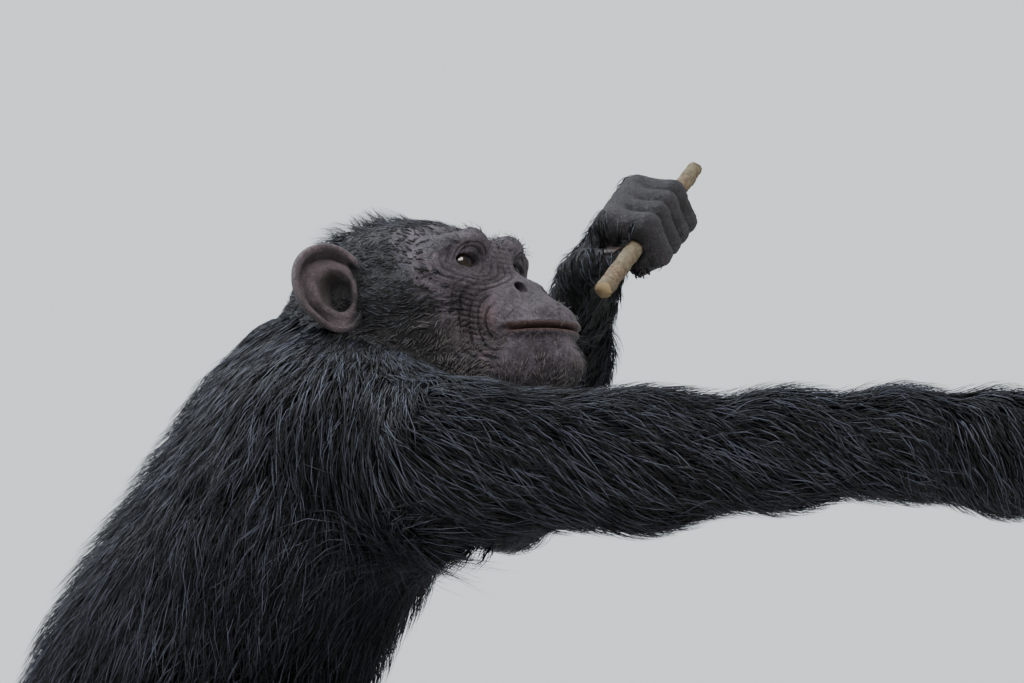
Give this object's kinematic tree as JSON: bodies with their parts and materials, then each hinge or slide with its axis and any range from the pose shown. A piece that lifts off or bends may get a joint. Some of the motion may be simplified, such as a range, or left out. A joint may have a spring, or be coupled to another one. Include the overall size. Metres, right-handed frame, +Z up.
{
  "type": "seated chimpanzee figure",
  "caption": "Life-size still figure of a chimpanzee sitting and leaning forward, looking up, one arm reaching out level and the raised other hand holding a cut branch.",
  "frame": {"origin": "middle of the flat that the figure sits on, on the floor", "axes": "+X the way the body faces, +Y its left side, +Z up"},
  "size_m": [1.116, 0.81, 0.6391],
  "materials": {
    "coat": "long black hair with a dull blue-grey sheen",
    "bare_skin": "dark, creased bare skin",
    "eye": "wet brown eye",
    "bark": "dry rough bark"
  },
  "bodies": {
    "root": {"head": "bare_skin", "ear_right": "bare_skin", "ear_left": "bare_skin", "eye_right": "eye", "eye_left": "eye", "neck": "coat", "chest": "coat", "belly": "coat", "upper_arm_right": "coat", "upper_arm_left": "coat", "forearm_right": "coat", "forearm_left": "coat", "hand_right": "bare_skin", "hand_left": "bare_skin", "thigh_right": "coat", "thigh_left": "coat", "lower_leg_right": "coat", "lower_leg_left": "coat", "foot_right": "bare_skin", "foot_left": "bare_skin", "held_branch": "bark"}
  },
  "joints": []
}
